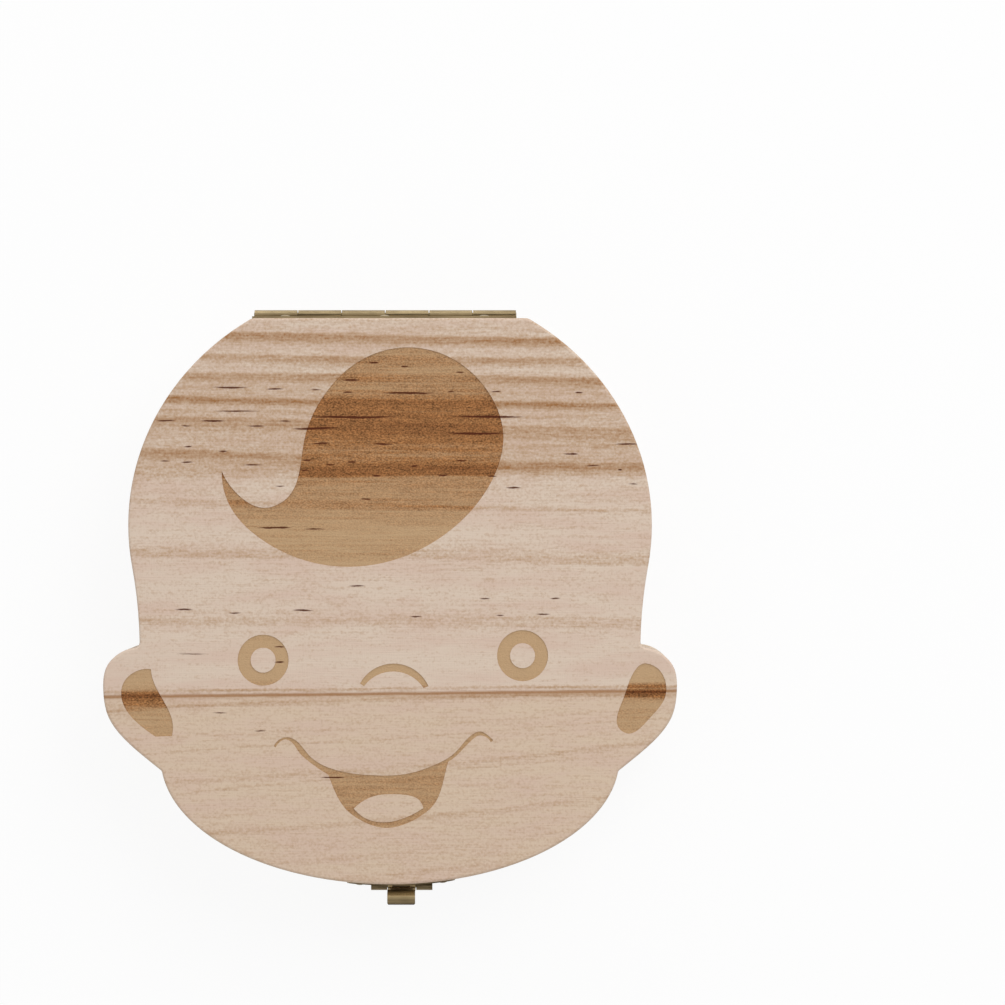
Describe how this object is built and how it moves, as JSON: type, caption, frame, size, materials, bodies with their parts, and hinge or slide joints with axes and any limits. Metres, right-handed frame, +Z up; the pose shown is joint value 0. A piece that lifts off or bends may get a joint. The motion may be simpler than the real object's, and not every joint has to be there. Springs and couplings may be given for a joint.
{
  "type": "baby tooth box",
  "caption": "Wooden keepsake box for milk teeth in the outline of a smiling child's head, with a hinged engraved lid, a hole for each tooth, pockets and a brass latch.",
  "frame": {"origin": "centre of the underside of the wooden base, on the surface the box stands on", "axes": "+X to the right as seen from above with the chin towards the viewer, +Y towards the hinge at the top of the head, +Z up"},
  "size_m": [0.1148, 0.1199, 0.025],
  "materials": {
    "base_wood": "sanded and unvarnished pine",
    "lid_wood_rear": "sanded pine with wavy latewood bands, laser engraved",
    "lid_wood_front": "sanded pine, plain and pinkish, laser engraved",
    "hinge_brass": "antique brass, satin",
    "latch_brass": "antique brass, satin",
    "tongue_brass": "antique brass, satin",
    "pin_brass": "antique brass",
    "nail_brass": "antique brass, domed heads"
  },
  "bodies": {
    "base": {"base_block": "base_wood", "hinge_leaf_base": "hinge_brass", "hinge_pin": "pin_brass", "latch_base_plate": "latch_brass", "latch_pin": "pin_brass", "hinge_nail_base_1": "nail_brass", "hinge_nail_base_2": "nail_brass", "hinge_nail_base_3": "nail_brass", "latch_nail_1": "nail_brass", "latch_nail_2": "nail_brass"},
    "lid": {"lid_board_rear": "lid_wood_rear", "lid_board_front": "lid_wood_front", "hinge_leaf_lid": "hinge_brass", "latch_catch_plate": "latch_brass", "hinge_nail_lid_1": "nail_brass", "hinge_nail_lid_2": "nail_brass", "hinge_nail_lid_3": "nail_brass", "catch_nail_1": "nail_brass", "catch_nail_2": "nail_brass"},
    "tongue": {"latch_tongue": "tongue_brass"}
  },
  "joints": [
    {"name": "lid_hinge", "type": "hinge", "parent": "base", "child": "lid", "pos_m": [-0.0012, 0.0577, 0.015], "axis": [-1, 0, 0], "range_deg": [0, 180]},
    {"name": "latch_tongue_hinge", "type": "hinge", "parent": "base", "child": "tongue", "pos_m": [0.0021, -0.05785, 0.0135], "axis": [1, 0, 0], "range_deg": [0, 135]}
  ]
}
